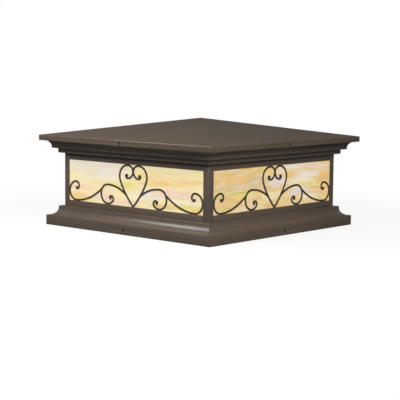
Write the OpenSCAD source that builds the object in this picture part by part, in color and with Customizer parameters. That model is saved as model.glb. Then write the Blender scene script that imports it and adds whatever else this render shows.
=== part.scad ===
// Pier mount light: a low, square, glazed light that covers the top of a masonry pier.
// Origin: the centre of its underside, on the pier's top. +Z is up and the front faces -Y.
// Sizes are in millimetres. "half" is a distance from the middle of the light to a face.

/* [Base moulding] */
// Width of the square skirt that covers the edge of the pier
base_w = 610; // [560:5:760]
// Height of the upright skirt
skirt_h = 27; // [25:1:40]
// Radius of the cove above the skirt
base_cove_r = 22; // [16:1:28]
// Flat between the skirt and the cove
base_flat = 3; // [2:0.5:8]
// Height of the upright lip above the cove
base_lip_h = 3.8; // [2.6:0.2:8]
// Width of the ledge round the foot of the body
base_ledge = 12.2; // [8:0.2:20]

/* [Body] */
// Width of each face of a corner post
post_w = 18.5; // [17:0.5:30]
// Height of the top and bottom rails that show
rail_h = 18; // [16:0.5:28]
// Height of the glazed opening
opening_h = 113; // [90:1:150]

/* [Crown moulding] */
// How far the band stands out from the body
band_out = 13.2; // [8:0.2:20]
// Height of the band
band_h = 13; // [8:0.5:20]
// Height of the crown's inner leg, which laps the frame up to its top
frame_lap = 14; // [13:0.5:16]
// How far the lip stands out from the band
lip_out = 12.7; // [8:0.2:20]
// Height of the upright lip under the cove
crown_lip_h = 4; // [2.6:0.2:8]
// Radius of the crown's cove
crown_cove_r = 17.5; // [12:0.5:24]

/* [Roof] */
// Width of the return under the fascia
return_w = 7.9; // [7:0.1:14]
// Height of the upright fascia
fascia_h = 14.8; // [13:0.2:24]
// Rise of the roof from the fascia to its peak
roof_rise = 50.2; // [30:1:90]
// Radius of the bend between the fascia and the roof
bend_r = 2.5; // [1.8:0.1:4]

/* [Sheet and glass] */
// Thickness of the sheet metal
sheet_t = 1.5; // [1.2:0.1:2]
// Thickness of a glass panel
glass_t = 3; // [2:0.5:4]
// How far the glass runs behind the top rail and the posts
glass_lap = 8; // [5:0.5:10]
// Depth of the flanges that stiffen the rails
flange_w = 15; // [13:0.5:17]
// Thickness of the gasket under the roof
gasket_t = 3; // [2:0.5:4]
// Width of the gasket
gasket_w = 12; // [8:1:16]
// Width of the crown's flat top flange
crown_flange_w = 20; // [17:1:26]
// Width of the seat that the base leaves for the lamp pan
pan_seat_w = 17; // [14:1:24]

/* [Scroll overlay] */
// Width of a scroll bar
bar_w = 5.2; // [4:0.1:6]
// Radius of the pea at the end of each curl
pea_r = 4.3; // [3.2:0.1:5]

/* [Screws and nuts] */
// Diameter of the set screws that hold the roof and the skirt
set_screw_d = 5; // [4:0.5:5]
// Diameter of the hole in front of a set screw
sight_hole_d = 6.6; // [6.2:0.1:7.5]
// Width across the flats of a weld nut
nut_af = 8; // [7.5:0.5:8]
// Thickness of a weld nut
nut_t = 4; // [3:0.5:5]
// Height of the skirt screws above the pier
skirt_screw_z = 11.3; // [8:0.1:16]
// Diameter of the screws that hold the pan and the lampholders
pan_screw_d = 4; // [3:0.5:5]
// Diameter of the screws that hold the glass clips
clip_screw_d = 3; // [2.5:0.5:3.5]
// Length of screw thread that stands out of the last sheet
thread_out = 2; // [1:0.5:3]

/* [Glass clips] */
// Width of a glass clip
clip_w = 20; // [14:1:30]
// Thickness of a glass clip
clip_t = 1; // [0.8:0.1:1.2]
// Distance between the two clips at one edge of a panel
clip_pitch = 240; // [160:10:300]

/* [Lamps] */
// Distance between the lampholders, along and across
lamp_pitch = 260; // [220:5:300]
// Height of a lampholder
holder_h = 40; // [34:1:46]
// Diameter of a lampholder's foot
holder_foot_d = 60; // [58:1:66]
// Diameter of a lampholder's barrel
holder_d = 42; // [38:1:42]
// Height of a lampholder's foot
holder_foot_h = 8; // [6:0.5:10]
// Diameter of a lamp's screw cap
lamp_cap_d = 26; // [24:0.5:27]
// Height of a lamp's screw cap
lamp_cap_h = 26; // [22:0.5:28]
// Diameter of a lamp's globe
globe_d = 60; // [45:1:66]
// Length of a lamp over all
lamp_h = 108; // [98:1:116]
// Thickness of a lamp's glass and of its cap's wall
lamp_wall = 0.8; // [0.6:0.1:1.2]

/* [Wiring] */
// Diameter of a lead over its insulation
lead_d = 2.6; // [2:0.2:3]
// Distance between the two leads of a run
lead_gap = 12; // [8:1:14]
// Diameter of the hole for the supply leads in the lamp pan
wire_hole_d = 32; // [28:1:40]
// Distance between neighbouring supply leads
supply_gap = 9; // [8:0.5:9.5]

/* [Pier bracket] */
// Thickness of the bracket's plate
bracket_t = 3; // [2:0.5:4]
// Width of the bracket's arms
arm_w = 60; // [50:5:100]
// Height of the bracket's upturned ends
tab_h = 24; // [21:1:30]
// Width of the square in the middle of the bracket
hub_w = 160; // [140:5:200]
// Diameter of the circle of anchor holes
anchor_pcd = 430; // [300:10:500]
// Diameter of an anchor hole
anchor_d = 9; // [7:0.5:12]
// Diameter of the conduit hole
conduit_d = 22.2; // [20:0.2:28]
// Distance between the slots for a wiring box
box_slot_pitch = 89; // [70:1:100]
// Length of a box slot
box_slot_l = 12; // [8:1:16]
// Width of a box slot
box_slot_w = 5; // [4:0.5:6]

/* [Hidden] */
$fn = 48;

// Colours, as the photograph shows them or as such pieces are
BRONZE = "#5b5048";
GLASS = "#ecd9a8";
STEEL = "#b9bcbf";
PORCELAIN = "#f2f0ea";

// Small clearances: seats, slides, and what a cut runs past a face
seat_gap = 0.3;
slide_gap = 0.5;
past = 1;

// Plan: half widths, from the skirt in to the body and out again to the fascia
base_half = base_w / 2;
base_cove_x = base_half - base_flat;
base_ledge_half = base_cove_x - base_cove_r;
body_half = base_ledge_half - base_ledge;
band_half = body_half + band_out;
crown_lip_half = band_half + lip_out;
crown_cove_x = crown_lip_half + crown_cove_r;
roof_half = crown_cove_x + return_w;
opening_half = body_half - post_w;
glass_face_half = body_half - sheet_t;
glass_back_half = glass_face_half - glass_t;
flange_half = body_half - flange_w;
pan_half = flange_half - slide_gap;
base_flange_half = pan_half - pan_seat_w;
upstand_half = crown_cove_x - slide_gap;

// Heights
base_cove_z = skirt_h + base_cove_r;
ledge_z = base_cove_z + base_lip_h;
opening_z0 = ledge_z + rail_h;
opening_z1 = opening_z0 + opening_h;
crown_z = opening_z1 + rail_h;
frame_top_z = crown_z + frame_lap;
band_top_z = crown_z + band_h;
crown_lip_z = band_top_z + crown_lip_h;
fascia_z0 = crown_lip_z + crown_cove_r;
fascia_z1 = fascia_z0 + fascia_h;
peak_z = fascia_z1 + roof_rise;
roof_pitch = atan(roof_rise / roof_half);
function roof_under(half) = peak_z - half * tan(roof_pitch) - sheet_t / cos(roof_pitch);
upstand_z = roof_under(upstand_half) - seat_gap - gasket_t;
pan_top_z = ledge_z + sheet_t;

// Turns a piece of the front side onto side 0 front, 1 right, 2 rear or 3 left
module on_side(side) rotate(90 * side) children();
module on_all_sides() for (side = [0:3]) on_side(side) children();

// Stands an outline of (distance from the middle, height) along the front side
module along_front(length) rotate([90, 0, -90]) linear_extrude(length, center = true) children();

// Cuts a length of moulding to its mitres
module mitre() intersection() {
    children();
    linear_extrude(peak_z + past) polygon([[0, 0], [-base_w, -base_w], [base_w, -base_w]]);
}

module band(half_0, half_1, z_0, z_1) translate([half_0, z_0]) square([half_1 - half_0, z_1 - z_0]);

// A hole through the front side's upright sheet, and one through a level sheet
module front_hole(x, z, d, from_half, to_half)
    translate([x, -from_half + past, z]) rotate([90, 0, 0]) cylinder(h = to_half - from_half + 2 * past, d = d);
module level_hole(x, half, d, z_0, z_1)
    translate([x, -half, z_0 - past]) cylinder(h = z_1 - z_0 + 2 * past, d = d);

// Base moulding
pan_screw_half = pan_half - pan_seat_w / 2;
pan_screw_x = 160;
clip_screw_half = (flange_half + glass_back_half) / 2;
module base_outline(inset) {
    band(base_flange_half - inset, base_half - inset, -inset, skirt_h - inset);
    difference() {
        band(base_flange_half - inset, base_cove_x, skirt_h - inset - 0.01, base_cove_z);
        translate([base_cove_x, base_cove_z]) circle(base_cove_r + inset);
    }
    band(base_flange_half - inset, base_ledge_half - inset, base_cove_z - 0.01, ledge_z - inset);
}
module base_length(side) color(BRONZE) on_side(side) difference() {
    mitre() along_front(base_w) difference() {
        base_outline(0);
        base_outline(sheet_t);
    }
    front_hole(0, skirt_screw_z, sight_hole_d, base_half - sheet_t, base_half);
    for (x = [-pan_screw_x, pan_screw_x]) level_hole(x, pan_screw_half, pan_screw_d + 0.1, ledge_z - sheet_t, ledge_z);
    for (x = [-clip_pitch / 2, clip_pitch / 2]) level_hole(x, clip_screw_half, clip_screw_d + 0.1, ledge_z - sheet_t, ledge_z);
}

// Crown moulding
module crown_outline(inset) {
    band(body_half + inset, band_half - inset, crown_z + inset, band_top_z + inset + 0.01);
    band(body_half + inset, crown_lip_half - inset, band_top_z + inset, crown_lip_z + 0.01);
    difference() {
        band(body_half + inset, upstand_half - inset, crown_lip_z, upstand_z - inset);
        translate([crown_cove_x, crown_lip_z]) circle(crown_cove_r + inset);
    }
}
module crown_length(side) color(BRONZE) on_side(side) mitre() along_front(2 * roof_half) difference() {
    crown_outline(0);
    crown_outline(sheet_t);
    band(body_half - past, upstand_half - crown_flange_w, frame_top_z, upstand_z + past);
}

// Roof: two crossing gables make the hipped shell, with a return under its fascia
module gable(half, z_0, inset) {
    bend = bend_r - inset;
    bend_x = half - bend_r;
    eave_z = peak_z - roof_half * tan(roof_pitch);
    bend_z = eave_z + bend_r * tan(roof_pitch) - bend_r / cos(roof_pitch);
    apex_z = peak_z - inset / cos(roof_pitch);
    along_front(2 * roof_half) {
        polygon([
            [0, z_0], [half - inset, z_0], [half - inset, bend_z], [bend_x, bend_z],
            [bend_x + bend * sin(roof_pitch), bend_z + bend * cos(roof_pitch)],
            [0, apex_z],
            [-bend_x - bend * sin(roof_pitch), bend_z + bend * cos(roof_pitch)],
            [-bend_x, bend_z], [inset - half, bend_z], [inset - half, z_0]
        ]);
        for (sx = [-1, 1]) translate([sx * bend_x, bend_z]) circle(bend);
    }
}
module hipped(half, z_0, inset) intersection() {
    gable(half, z_0, inset);
    rotate(90) gable(half, z_0, inset);
}
roof_screw_z = fascia_z0 + sheet_t + nut_af / 2 + 0.2;
module roof_cap() color(BRONZE) difference() {
    hipped(roof_half, fascia_z0, 0);
    hipped(roof_half, fascia_z0 + sheet_t, sheet_t);
    translate([-crown_cove_x, -crown_cove_x, fascia_z0 - past]) cube([2 * crown_cove_x, 2 * crown_cove_x, sheet_t + 2 * past]);
    on_all_sides() front_hole(0, roof_screw_z, sight_hole_d, roof_half - sheet_t, roof_half);
}

// A weld nut on the inside of an upright sheet, and the set screw that turns in it and bears on what it holds
module weld_nut(sheet_half, z) translate([0, -sheet_half + nut_t, z]) rotate([90, 0, 0]) difference() {
    cylinder(h = nut_t, d = nut_af / cos(30), $fn = 6);
    translate([0, 0, -past]) cylinder(h = nut_t + 2 * past, d = set_screw_d + 0.1);
}
socket_af = set_screw_d / 2;
module set_screw(tip_half, end_half, z) translate([0, -tip_half, z]) rotate([90, 0, 0]) difference() {
    cylinder(h = end_half - tip_half, d = set_screw_d);
    translate([0, 0, (end_half - tip_half) / 2]) cylinder(h = end_half, d = socket_af / cos(30), $fn = 6);
}
module roof_weld_nuts() color(STEEL) on_all_sides() weld_nut(roof_half - sheet_t, roof_screw_z);
module roof_screws() color(BRONZE)
    on_all_sides() set_screw(upstand_half + seat_gap, roof_half - sheet_t - seat_gap, roof_screw_z);
bracket_half = base_half - sheet_t - nut_t - thread_out - seat_gap;
module skirt_weld_nuts() color(STEEL) on_all_sides() weld_nut(base_half - sheet_t, skirt_screw_z);
module skirt_screws() color(BRONZE)
    on_all_sides() set_screw(bracket_half + seat_gap, base_half - sheet_t - seat_gap, skirt_screw_z);

// Gasket on the crown's top flange, sloped to the roof's underside
gasket_out_half = upstand_half - sheet_t - past;
module roof_gasket() color("#2b2b2b") on_all_sides() mitre() along_front(2 * roof_half) polygon([
    [gasket_out_half - gasket_w, upstand_z], [gasket_out_half, upstand_z],
    [gasket_out_half, roof_under(gasket_out_half) - seat_gap],
    [gasket_out_half - gasket_w, roof_under(gasket_out_half - gasket_w) - seat_gap]
]);

// Corner posts: angles with their corner outwards
module post(corner) color(BRONZE) rotate(90 * corner) translate([-body_half, -body_half, ledge_z])
    linear_extrude(frame_top_z - ledge_z)
        polygon([[0, 0], [post_w, 0], [post_w, sheet_t], [sheet_t, sheet_t], [sheet_t, post_w], [0, post_w]]);

// Rails: an upright face with a level flange, between two posts
clip_xs = [-clip_pitch / 2, clip_pitch / 2];
module top_rail(side) color(BRONZE) on_side(side) difference() {
    along_front(2 * opening_half) {
        band(glass_face_half, body_half, opening_z1, frame_top_z);
        band(flange_half, body_half, frame_top_z - sheet_t, frame_top_z);
    }
    for (x = clip_xs) level_hole(x, clip_screw_half, clip_screw_d + 0.1, frame_top_z - sheet_t, frame_top_z);
}
module bottom_rail(side) color(BRONZE) on_side(side) difference() {
    along_front(2 * opening_half) {
        band(glass_face_half, body_half, ledge_z, opening_z0);
        band(flange_half, body_half, ledge_z, ledge_z + sheet_t);
    }
    for (x = clip_xs) level_hole(x, clip_screw_half, clip_screw_d + 0.1, ledge_z, ledge_z + sheet_t);
}

// Glass: stands on the bottom rail's flange and laps behind the posts and the top rail
glass_z0 = ledge_z + sheet_t + seat_gap;
glass_z1 = opening_z1 + glass_lap;
module glass(side) color(GLASS) on_side(side)
    translate([-opening_half - glass_lap, -glass_face_half, glass_z0])
        cube([2 * (opening_half + glass_lap), glass_t, glass_z1 - glass_z0]);

// Glass clips: a foot screwed to a rail's flange and a leg against the back of the glass
clip_leg_half = glass_back_half - seat_gap;
upper_clip_z = frame_top_z - sheet_t;
module clip(foot_z0, leg_z0, leg_z1) difference() {
    along_front(clip_w) {
        band(flange_half + seat_gap, clip_leg_half, foot_z0, foot_z0 + clip_t);
        band(clip_leg_half - clip_t, clip_leg_half, leg_z0, leg_z1);
    }
    level_hole(0, clip_screw_half, clip_screw_d + 0.1, foot_z0, foot_z0 + clip_t);
}
module upper_glass_clips() color(STEEL) on_all_sides() for (x = clip_xs) translate([x, 0, 0])
    clip(upper_clip_z - clip_t, opening_z1 + past, upper_clip_z);
module lower_glass_clips() color(STEEL) on_all_sides() for (x = clip_xs) translate([x, 0, 0])
    clip(pan_top_z, pan_top_z, opening_z0 - past);

// A pan-head screw that points down, with its head's underside at the origin
module screw(d, length) {
    translate([0, 0, -length]) cylinder(h = length, d = d);
    cylinder(h = 0.5 * d, d = 1.8 * d);
}
module clip_screws() color(STEEL) on_all_sides() for (x = clip_xs) translate([x, -clip_screw_half, 0]) {
    translate([0, 0, frame_top_z]) screw(clip_screw_d, sheet_t + clip_t + thread_out);
    translate([0, 0, pan_top_z + clip_t]) screw(clip_screw_d, clip_t + 2 * sheet_t + thread_out);
}

// Scroll overlay: bars cut as chains of tangent arcs, each arc [radius, turn], with a pea at each curl's end.
// They are drawn for an opening of this half width and height, and their lines are stretched to the real one.
scroll_for = [249.3, 113];
heart_start = [-0.4, -0.1];
heart_heading = 45.1;
heart_arcs = [[270, 11.8], [160, 10.8], [29.8, 134], [14.4, 55], [18.3, 114], [6, 69], [3.3, 135]];
inner_start = [25.7, 30.1];
inner_heading = 38.5;
inner_arcs = [[110, -40], [25.6, -80], [26.3, -98], [25.9, -45.5], [8.2, -153.5], [4.4, -105]];
outer_start = [118.5, 41.1];
outer_heading = -36.9;
outer_arcs = [[313, 5.1], [156.5, 30.4], [26.3, 99], [25.3, 85], [11, 105], [7.8, 67], [3.8, 56]];

arc_step = 8;
function turn_steps(arc) = max(3, ceil(abs(arc[1]) / arc_step));
function arc_centre(p, h, arc) = p + arc[0] * sign(arc[1]) * [-sin(h), cos(h)];
function arc_point(p, h, arc, turn) =
    arc_centre(p, h, arc) + arc[0] * sign(arc[1]) * [sin(h + turn), -cos(h + turn)];
function arc_stations(p, h, arc, n) = [for (k = [1:n]) [arc_point(p, h, arc, arc[1] * k / n), h + arc[1] * k / n]];
function stations(p, h, arcs, i) = i == len(arcs) ? [] : concat(
    arc_stations(p, h, arcs[i], turn_steps(arcs[i])),
    stations(arc_point(p, h, arcs[i], arcs[i][1]), h + arcs[i][1], arcs, i + 1)
);
stretch = [opening_half / scroll_for[0], opening_h / scroll_for[1]];
function stretched(p) = [p[0] * stretch[0], p[1] * stretch[1]];
function normal(h) = [-sin(h) * stretch[1], cos(h) * stretch[0]] / norm([sin(h) * stretch[1], cos(h) * stretch[0]]);
function beside(station, off) = stretched(station[0]) + off * normal(station[1]);

module scroll_bar(p0, h0, arcs) {
    line = concat([[p0, h0]], stations(p0, h0, arcs, 0));
    n = len(line);
    inside = sign(arcs[0][1]);
    linear_extrude(sheet_t) polygon(concat(
        [for (k = [0:n - 1]) beside(line[k], bar_w / 2)],
        [for (k = [0:n - 1]) beside(line[n - 1 - k], -bar_w / 2)]
    ));
    translate(beside(line[n - 1], inside * (pea_r - bar_w / 2))) cylinder(h = sheet_t, r = pea_r);
}
module scroll_half() {
    scroll_bar(heart_start, heart_heading, heart_arcs);
    scroll_bar(inner_start, inner_heading, inner_arcs);
    scroll_bar(outer_start, outer_heading, outer_arcs);
}
module scroll(side) color(BRONZE) on_side(side)
    translate([0, -glass_face_half, opening_z0]) rotate([90, 0, 0]) intersection() {
        union() {
            scroll_half();
            mirror([1, 0, 0]) scroll_half();
        }
        translate([-opening_half, 0, 0]) cube([2 * opening_half, opening_h, sheet_t]);
    }

// Lamp pan: a flat sheet on the base's seat, with weep holes in its corners
weep_d = 6;
weep_half = pan_half - 2 * pan_seat_w;
grommet_lip = 2;
holder_screw_x = (holder_foot_d + holder_d) / 4;
module at_lamps() for (sx = [-1, 1], sy = [-1, 1]) translate([sx * lamp_pitch / 2, sy * lamp_pitch / 2, pan_top_z]) children();
module at_holder_screws() at_lamps() for (sx = [-1, 1]) translate([sx * holder_screw_x, 0, 0]) children();
earth_screw_x = -50;
module lamp_pan() color(STEEL) difference() {
    translate([-pan_half, -pan_half, ledge_z]) cube([2 * pan_half, 2 * pan_half, sheet_t]);
    translate([0, 0, ledge_z - past]) cylinder(h = sheet_t + 2 * past, d = wire_hole_d);
    on_all_sides() {
        for (x = [-pan_screw_x, pan_screw_x]) level_hole(x, pan_screw_half, pan_screw_d + 0.4, ledge_z, pan_top_z);
        level_hole(weep_half, weep_half, weep_d, ledge_z, pan_top_z);
    }
    at_holder_screws() translate([0, 0, -sheet_t - past]) cylinder(h = sheet_t + 2 * past, d = pan_screw_d + 0.1);
    translate([earth_screw_x, supply_gap, ledge_z - past]) cylinder(h = sheet_t + 2 * past, d = pan_screw_d + 0.1);
}
module pan_screws() color(STEEL) on_all_sides() for (x = [-pan_screw_x, pan_screw_x])
    translate([x, -pan_screw_half, pan_top_z]) screw(pan_screw_d, 2 * sheet_t + thread_out);

// Grommet in the wire hole
grommet_bore_d = wire_hole_d - 6;
module wire_grommet() color("#2b2b2b") translate([0, 0, ledge_z]) difference() {
    union() {
        translate([0, 0, -grommet_lip]) cylinder(h = grommet_lip, d = wire_hole_d + 6);
        cylinder(h = sheet_t, d = wire_hole_d);
        translate([0, 0, sheet_t]) cylinder(h = grommet_lip, d = wire_hole_d + 6);
    }
    translate([0, 0, -grommet_lip - past]) cylinder(h = 2 * grommet_lip + sheet_t + 2 * past, d = grommet_bore_d);
}

// Lampholders and lamps: a lamp's cap fills its socket and stands just clear of the socket's floor
socket_depth = lamp_cap_h;
module lampholders() color(PORCELAIN) at_lamps() difference() {
    union() {
        cylinder(h = holder_foot_h, d = holder_foot_d);
        cylinder(h = holder_h, d = holder_d);
    }
    translate([0, 0, holder_h - socket_depth]) cylinder(h = socket_depth + past, d = lamp_cap_d + 2 * slide_gap);
    for (sx = [-1, 1]) translate([sx * holder_screw_x, 0, -past])
        cylinder(h = holder_foot_h + 2 * past, d = pan_screw_d + 0.4);
}
module lampholder_screws() color(STEEL) at_holder_screws() translate([0, 0, holder_foot_h])
    screw(pan_screw_d, holder_foot_h + sheet_t + thread_out);
lamp_z = holder_h - socket_depth + seat_gap;
globe_z = lamp_h - globe_d / 2;
neck_top_d = globe_d * 0.8;
neck_top_z = globe_z - sqrt(pow(globe_d, 2) - pow(neck_top_d, 2)) / 2;
module at_lamp(n) translate([(n % 3 == 1 ? -1 : 1) * lamp_pitch / 2, (n < 3 ? -1 : 1) * lamp_pitch / 2, pan_top_z + lamp_z])
    children();
cap_floor_t = 2;
module lamp_cap(n) color("#c9a86a") at_lamp(n) difference() {
    cylinder(h = lamp_cap_h, d = lamp_cap_d);
    translate([0, 0, cap_floor_t]) cylinder(h = lamp_cap_h, d = lamp_cap_d - 2 * lamp_wall);
}
module lamp_globe(n) color("white") at_lamp(n) difference() {
    union() {
        translate([0, 0, lamp_cap_h]) cylinder(h = neck_top_z - lamp_cap_h, d1 = lamp_cap_d, d2 = neck_top_d);
        translate([0, 0, globe_z]) sphere(d = globe_d);
    }
    translate([0, 0, lamp_cap_h - past]) cylinder(h = past + 0.01, d = lamp_cap_d - 2 * lamp_wall);
    translate([0, 0, lamp_cap_h])
        cylinder(h = neck_top_z - lamp_cap_h, d1 = lamp_cap_d - 2 * lamp_wall, d2 = neck_top_d - 2 * lamp_wall);
    translate([0, 0, globe_z]) sphere(d = globe_d - 2 * lamp_wall);
}

// Wiring: leads loop from holder to holder, and from the terminal block through the grommet to the connectors
lead_z = pan_top_z + grommet_lip + lead_d / 2 + seat_gap;
block_l = 30;
block_w = 26;
block_h = 16;
lead_end = sqrt(pow(holder_foot_d / 2, 2) - pow(lead_gap / 2, 2)) + seat_gap;
module lead_run(x, y_0, y_1) translate([x, y_0, lead_z]) rotate([-90, 0, 0]) cylinder(h = y_1 - y_0, d = lead_d);
module lamp_leads(offset) {
    for (s = [0, 180]) rotate(s) {
        rotate(-90) lead_run(-lamp_pitch / 2 + offset, lead_end - lamp_pitch / 2, lamp_pitch / 2 - lead_end);
    }
    lead_run(-lamp_pitch / 2 + offset, lead_end - lamp_pitch / 2, -block_l / 2);
    lead_run(-lamp_pitch / 2 + offset, block_l / 2, lamp_pitch / 2 - lead_end);
}
lead_bend_r = 8;
connector_d = 11;
connector_h = 18;
connector_top_z = ledge_z - grommet_lip - 6;
connector_drop = connector_h + 2;
module supply_lead(y, x_0, z_1) {
    translate([x_0, y, lead_z]) rotate([0, 90, 0]) cylinder(h = -lead_bend_r - x_0, d = lead_d);
    translate([-lead_bend_r, y, lead_z - lead_bend_r]) rotate([90, 0, 0])
        rotate_extrude(angle = 90) translate([lead_bend_r, 0]) circle(d = lead_d);
    translate([0, y, z_1]) cylinder(h = lead_z - lead_bend_r - z_1, d = lead_d);
}
block_end_x = block_w / 2 - lamp_pitch / 2;
module line_leads() color("#1c1c1c") {
    lamp_leads(-lead_gap / 2);
    supply_lead(-supply_gap, block_end_x, connector_top_z);
}
module neutral_leads() color("white") {
    lamp_leads(lead_gap / 2);
    supply_lead(0, block_end_x, connector_top_z - connector_drop);
}
lug_t = 1;
lug_d = 10;
module earth_lead() color("#2f7d3a") {
    supply_lead(supply_gap, earth_screw_x + lug_d / 2, connector_top_z);
    difference() {
        union() {
            translate([earth_screw_x, supply_gap, pan_top_z]) cylinder(h = lug_t, d = lug_d);
            translate([earth_screw_x + lug_d / 2 - 1, supply_gap - lead_d / 2, pan_top_z])
                cube([4, lead_d, lead_z - pan_top_z]);
        }
        translate([earth_screw_x, supply_gap, pan_top_z - past])
            cylinder(h = lug_t + 2 * past, d = pan_screw_d + 0.1);
    }
}
module earth_screw() color("#2f7d3a") translate([earth_screw_x, supply_gap, pan_top_z + lug_t])
    screw(pan_screw_d, lug_t + sheet_t + thread_out);
module terminal_block() color(PORCELAIN) translate([-lamp_pitch / 2, 0, pan_top_z + block_h / 2])
    cube([block_w, block_l, block_h], center = true);
module connector() translate([0, 0, -connector_h]) cylinder(h = connector_h, d1 = connector_d - 3, d2 = connector_d);
module wire_connectors() color("#c8442e") {
    for (y = [-supply_gap, supply_gap]) translate([0, y, connector_top_z]) connector();
    translate([0, 0, connector_top_z - connector_drop]) connector();
}

// Pier bracket: a cross of flat plate with four upturned ends that the skirt screws bear on
module pier_bracket() color(STEEL) difference() {
    union() {
        translate([-hub_w / 2, -hub_w / 2, 0]) cube([hub_w, hub_w, bracket_t]);
        on_all_sides() {
            translate([-arm_w / 2, -bracket_half, 0]) cube([arm_w, bracket_half, bracket_t]);
            translate([-arm_w / 2, -bracket_half, 0]) cube([arm_w, bracket_t, tab_h]);
        }
    }
    on_all_sides() translate([0, -anchor_pcd / 2, -past]) cylinder(h = bracket_t + 2 * past, d = anchor_d);
    translate([0, 0, -past]) cylinder(h = bracket_t + 2 * past, d = conduit_d);
    for (sx = [-1, 1]) translate([sx * box_slot_pitch / 2, 0, -past]) {
        for (ex = [-1, 1]) translate([ex * (box_slot_l - box_slot_w) / 2, 0, 0])
            cylinder(h = bracket_t + 2 * past, d = box_slot_w);
        translate([(box_slot_w - box_slot_l) / 2, -box_slot_w / 2, 0])
            cube([box_slot_l - box_slot_w, box_slot_w, bracket_t + 2 * past]);
    }
}

roof_cap();
roof_screws();
roof_weld_nuts();
roof_gasket();
crown_length(0);  // crown_front
crown_length(1);  // crown_right
crown_length(2);  // crown_rear
crown_length(3);  // crown_left
post(0);  // post_front_left
post(1);  // post_front_right
post(2);  // post_rear_right
post(3);  // post_rear_left
top_rail(0);  // top_rail_front
top_rail(1);  // top_rail_right
top_rail(2);  // top_rail_rear
top_rail(3);  // top_rail_left
bottom_rail(0);  // bottom_rail_front
bottom_rail(1);  // bottom_rail_right
bottom_rail(2);  // bottom_rail_rear
bottom_rail(3);  // bottom_rail_left
glass(0);  // glass_front
glass(1);  // glass_right
glass(2);  // glass_rear
glass(3);  // glass_left
scroll(0);  // scroll_front
scroll(1);  // scroll_right
scroll(2);  // scroll_rear
scroll(3);  // scroll_left
upper_glass_clips();
lower_glass_clips();
clip_screws();
base_length(0);  // base_front
base_length(1);  // base_right
base_length(2);  // base_rear
base_length(3);  // base_left
skirt_screws();
skirt_weld_nuts();
lamp_pan();
pan_screws();
wire_grommet();
lampholders();
lampholder_screws();
lamp_cap(1);  // lamp_1_cap
lamp_cap(2);  // lamp_2_cap
lamp_cap(3);  // lamp_3_cap
lamp_cap(4);  // lamp_4_cap
lamp_globe(1);  // lamp_1_globe
lamp_globe(2);  // lamp_2_globe
lamp_globe(3);  // lamp_3_globe
lamp_globe(4);  // lamp_4_globe
terminal_block();
line_leads();
neutral_leads();
earth_lead();
earth_screw();
wire_connectors();
pier_bracket();
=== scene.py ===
"""Dresses the pier mount light: its roof, mouldings, frame, art glass, scroll overlays and the pieces inside.

Lengths in the tables below are in millimetres, and times MM they are in metres. "half" is a distance from the
middle of the light to a face.
"""

import math

import bmesh
import bpy
from mathutils import Matrix, Vector


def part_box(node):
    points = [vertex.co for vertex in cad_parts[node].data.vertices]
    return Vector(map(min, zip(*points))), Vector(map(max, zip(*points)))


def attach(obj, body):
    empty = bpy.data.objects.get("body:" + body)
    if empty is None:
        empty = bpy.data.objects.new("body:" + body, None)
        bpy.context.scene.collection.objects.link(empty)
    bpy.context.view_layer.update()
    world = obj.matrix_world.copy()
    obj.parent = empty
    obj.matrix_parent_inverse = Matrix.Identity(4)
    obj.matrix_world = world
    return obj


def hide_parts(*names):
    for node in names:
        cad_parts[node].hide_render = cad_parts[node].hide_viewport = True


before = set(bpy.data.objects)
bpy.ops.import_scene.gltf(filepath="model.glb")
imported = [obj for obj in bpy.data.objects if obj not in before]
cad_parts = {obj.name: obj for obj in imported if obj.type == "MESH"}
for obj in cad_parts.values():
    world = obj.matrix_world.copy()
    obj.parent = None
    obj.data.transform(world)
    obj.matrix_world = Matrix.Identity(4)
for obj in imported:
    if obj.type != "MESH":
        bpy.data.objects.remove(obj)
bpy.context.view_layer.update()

bl_info = {
    "name": "Pier mount light",
    "version": (1, 0, 0),
    "blender": (4, 5, 0),
    "location": "View3D > Sidebar > Pier Light",
    "description": "Builds a pier mount light with art glass and scroll overlays",
    "category": "Add Mesh",
}

MM = 0.001
SIDES = ("front", "right", "rear", "left")
CORNERS = ("front_left", "front_right", "rear_right", "rear_left")


def node_top(node):
    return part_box(node)[1]


def node_foot(node):
    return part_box(node)[0]


# Heights and half widths that the frame gives, in metres
BODY = -node_foot("post_front_left").x
POST_W = node_top("post_front_left").x + BODY
LEDGE_Z = node_foot("post_front_left").z
FRAME_TOP = node_top("post_front_left").z
OPENING = BODY - POST_W
OPENING_Z0 = node_top("bottom_rail_front").z
OPENING_Z1 = node_foot("top_rail_front").z
FLANGE = -node_top("top_rail_front").y
ROOF = node_top("roof_cap").x
PEAK_Z = node_top("roof_cap").z
GLASS_FACE = -node_foot("glass_front").y
GLASS_BACK = -node_top("glass_front").y
GLASS_HALF = node_top("glass_front").x
GLASS_Z0 = node_foot("glass_front").z
GLASS_Z1 = node_top("glass_front").z
SHEET = 1.5 * MM
# How finely the pieces are finished
SMOOTH_BELOW = math.radians(40)
FOLD_SEGMENTS = 3
EDGE_SEGMENTS = 2
DRILL_DEPTH = 12 * MM
MERGE = 0.01 * MM
ON_PLANE = 0.001 * MM


# Modelling helpers


def clear():
    """Leaves edit mode and deselects everything."""
    if bpy.context.object and bpy.context.object.mode != "OBJECT":
        bpy.ops.object.mode_set(mode="OBJECT")
    bpy.ops.object.select_all(action="DESELECT")


def only(piece):
    clear()
    piece.select_set(True)
    bpy.context.view_layer.objects.active = piece


def edit(piece):
    only(piece)
    bpy.ops.object.mode_set(mode="EDIT")


def pick(kind, test):
    """In edit mode, selects the vertices, edges or faces that pass a test."""
    bpy.ops.mesh.select_mode(type=kind)
    bpy.ops.mesh.select_all(action="DESELECT")
    mesh = bmesh.from_edit_mesh(bpy.context.object.data)
    found = {"VERT": mesh.verts, "EDGE": mesh.edges, "FACE": mesh.faces}[kind]
    for item in found:
        if test(item):
            item.select_set(True)
    bmesh.update_edit_mesh(bpy.context.object.data)


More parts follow.
